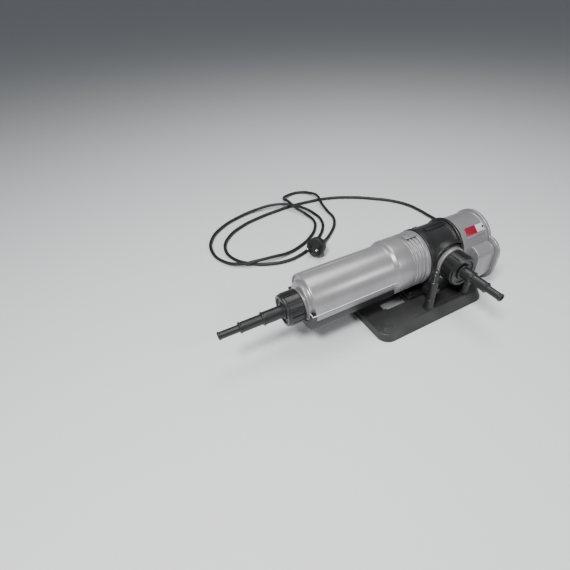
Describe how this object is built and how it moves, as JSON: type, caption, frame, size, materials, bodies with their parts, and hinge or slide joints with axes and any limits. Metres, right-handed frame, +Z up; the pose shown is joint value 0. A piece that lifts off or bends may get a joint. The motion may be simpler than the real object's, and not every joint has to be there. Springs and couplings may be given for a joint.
{
  "type": "in-line UV water clarifier",
  "caption": "In-line UV clarifier: grey lamp chamber plugged into a black tee on a bracket base, with hose unions, quartz sleeve and lamp, ballast head, red window, mains lead and plug.",
  "frame": {"origin": "bottom centre of the clarifier's box, measured without its lead and plug, on the surface it stands on", "axes": "+X along the chamber towards the lamp head, +Y towards the rear blanking cap, away from the front hose union, +Z up"},
  "size_m": [0.5667, 0.6214, 0.1231],
  "materials": {
    "grey_plastic": "satin",
    "black_plastic": "satin",
    "black_rubber": "matte",
    "window_red": "gloss",
    "label_grey": "matte",
    "quartz_glass": "clear",
    "lamp_white": "frosted",
    "screw_steel": "satin",
    "pin_nickel": "gloss",
    "coil_steel": "satin"
  },
  "bodies": {
    "base": {"base_bracket": "black_plastic", "tee_body": "black_plastic", "tee_screw_1": "screw_steel", "tee_screw_2": "screw_steel", "tee_screw_3": "screw_steel", "tee_screw_4": "screw_steel", "front_port": "grey_plastic", "rear_port": "grey_plastic", "front_seal": "black_rubber", "rear_seal": "black_rubber"},
    "chamber": {"chamber_tube": "grey_plastic", "chamber_seal": "black_rubber", "chamber_catch": "grey_plastic", "end_seal": "black_rubber"},
    "end_nut": {"end_nut": "black_plastic"},
    "end_tail": {"end_tail": "black_plastic"},
    "front_nut": {"front_nut": "black_plastic"},
    "front_tail": {"front_tail": "black_plastic"},
    "rear_cap": {"rear_cap": "black_plastic"},
    "lock_ring": {"lock_ring": "black_plastic"},
    "switch_plunger": {"switch_plunger": "label_grey"},
    "lamp_head": {"ballast_coil": "coil_steel", "cable_clamp": "black_plastic", "cable_gland": "black_plastic", "carrier_seal": "black_rubber", "cover_screw_1": "screw_steel", "cover_screw_2": "screw_steel", "cover_screw_3": "screw_steel", "head_cover": "grey_plastic", "head_housing": "grey_plastic", "indicator_window": "window_red", "label_strip": "label_grey", "lamp_base": "lamp_white", "lamp_carrier": "black_plastic", "lamp_socket": "black_plastic", "lamp_tubes": "lamp_white", "plug_body": "black_rubber", "plug_pin_left": "pin_nickel", "plug_pin_right": "pin_nickel", "power_cord": "black_rubber", "quartz_sleeve": "quartz_glass", "safety_switch": "black_plastic", "sleeve_seal": "black_rubber", "strain_relief": "black_rubber", "terminal_block": "label_grey"}
  },
  "joints": [
    {"name": "chamber_twist", "type": "hinge", "parent": "base", "child": "chamber", "pos_m": [0.0966, 0.03295, 0.075], "axis": [1, 0, 0], "range_deg": [0, 35]},
    {"name": "lock_ring_twist", "type": "hinge", "parent": "base", "child": "lock_ring", "pos_m": [0.1614, 0.03295, 0.075], "axis": [1, 0, 0], "range_deg": [0, 30]},
    {"name": "head_pull", "type": "slide", "parent": "base", "child": "lamp_head", "axis": [1, 0, 0], "range_m": [0, 0.25]},
    {"name": "switch_press", "type": "slide", "parent": "lamp_head", "child": "switch_plunger", "axis": [1, 0, 0], "range_m": [0, 0.003], "stiffness_N_per_m": 250},
    {"name": "end_nut_turn", "type": "hinge", "parent": "chamber", "child": "end_nut", "pos_m": [-0.1326, 0.03295, 0.07], "axis": [-1, 0, 0], "range_deg": [0, 540]},
    {"name": "end_tail_swivel", "type": "hinge", "parent": "chamber", "child": "end_tail", "pos_m": [-0.1526, 0.03295, 0.07], "axis": [-1, 0, 0], "continuous": true},
    {"name": "front_nut_turn", "type": "hinge", "parent": "base", "child": "front_nut", "pos_m": [0.1374, -0.02705, 0.075], "axis": [0, -1, 0], "range_deg": [0, 540]},
    {"name": "front_tail_swivel", "type": "hinge", "parent": "base", "child": "front_tail", "pos_m": [0.1374, -0.05705, 0.075], "axis": [0, -1, 0], "continuous": true},
    {"name": "rear_cap_turn", "type": "hinge", "parent": "base", "child": "rear_cap", "pos_m": [0.1374, 0.08095, 0.075], "axis": [0, 1, 0], "range_deg": [0, 360]}
  ]
}
